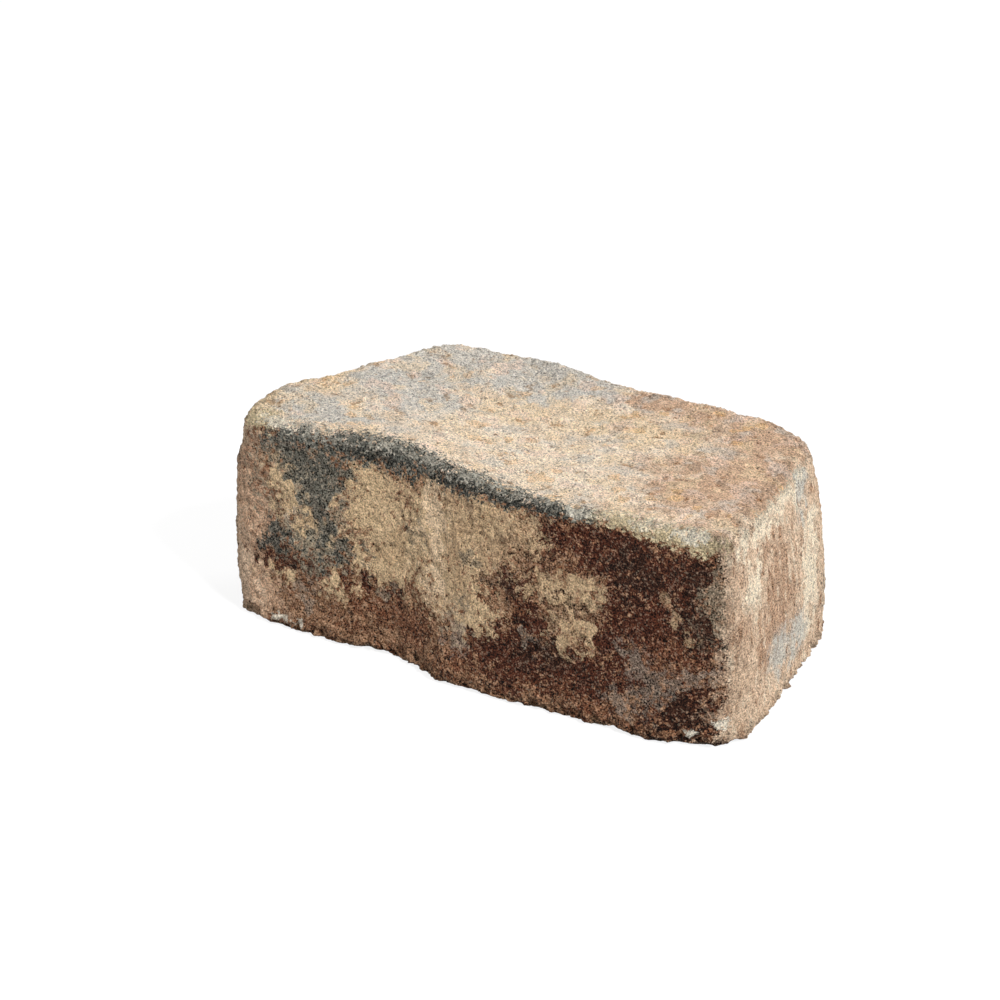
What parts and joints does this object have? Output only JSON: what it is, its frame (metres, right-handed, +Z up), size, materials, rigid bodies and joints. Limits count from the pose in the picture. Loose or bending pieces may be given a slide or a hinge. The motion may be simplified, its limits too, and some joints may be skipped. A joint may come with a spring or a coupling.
{
  "type": "retaining wall block",
  "caption": "Tapered cast concrete garden wall block with a wavy weathered front face, sides that narrow towards the back, worn edges and a flat bed.",
  "frame": {"origin": "middle of the bed, the flat face that the block lies on", "axes": "+X runs along the front face to the viewer's right, -Y points out of the front face, +Z is up"},
  "size_m": [0.2918, 0.1641, 0.11],
  "materials": {
    "concrete": "weathered, mottled buff, brown and charcoal concrete"
  },
  "bodies": {
    "root": {"wall_block": "concrete"}
  },
  "joints": []
}
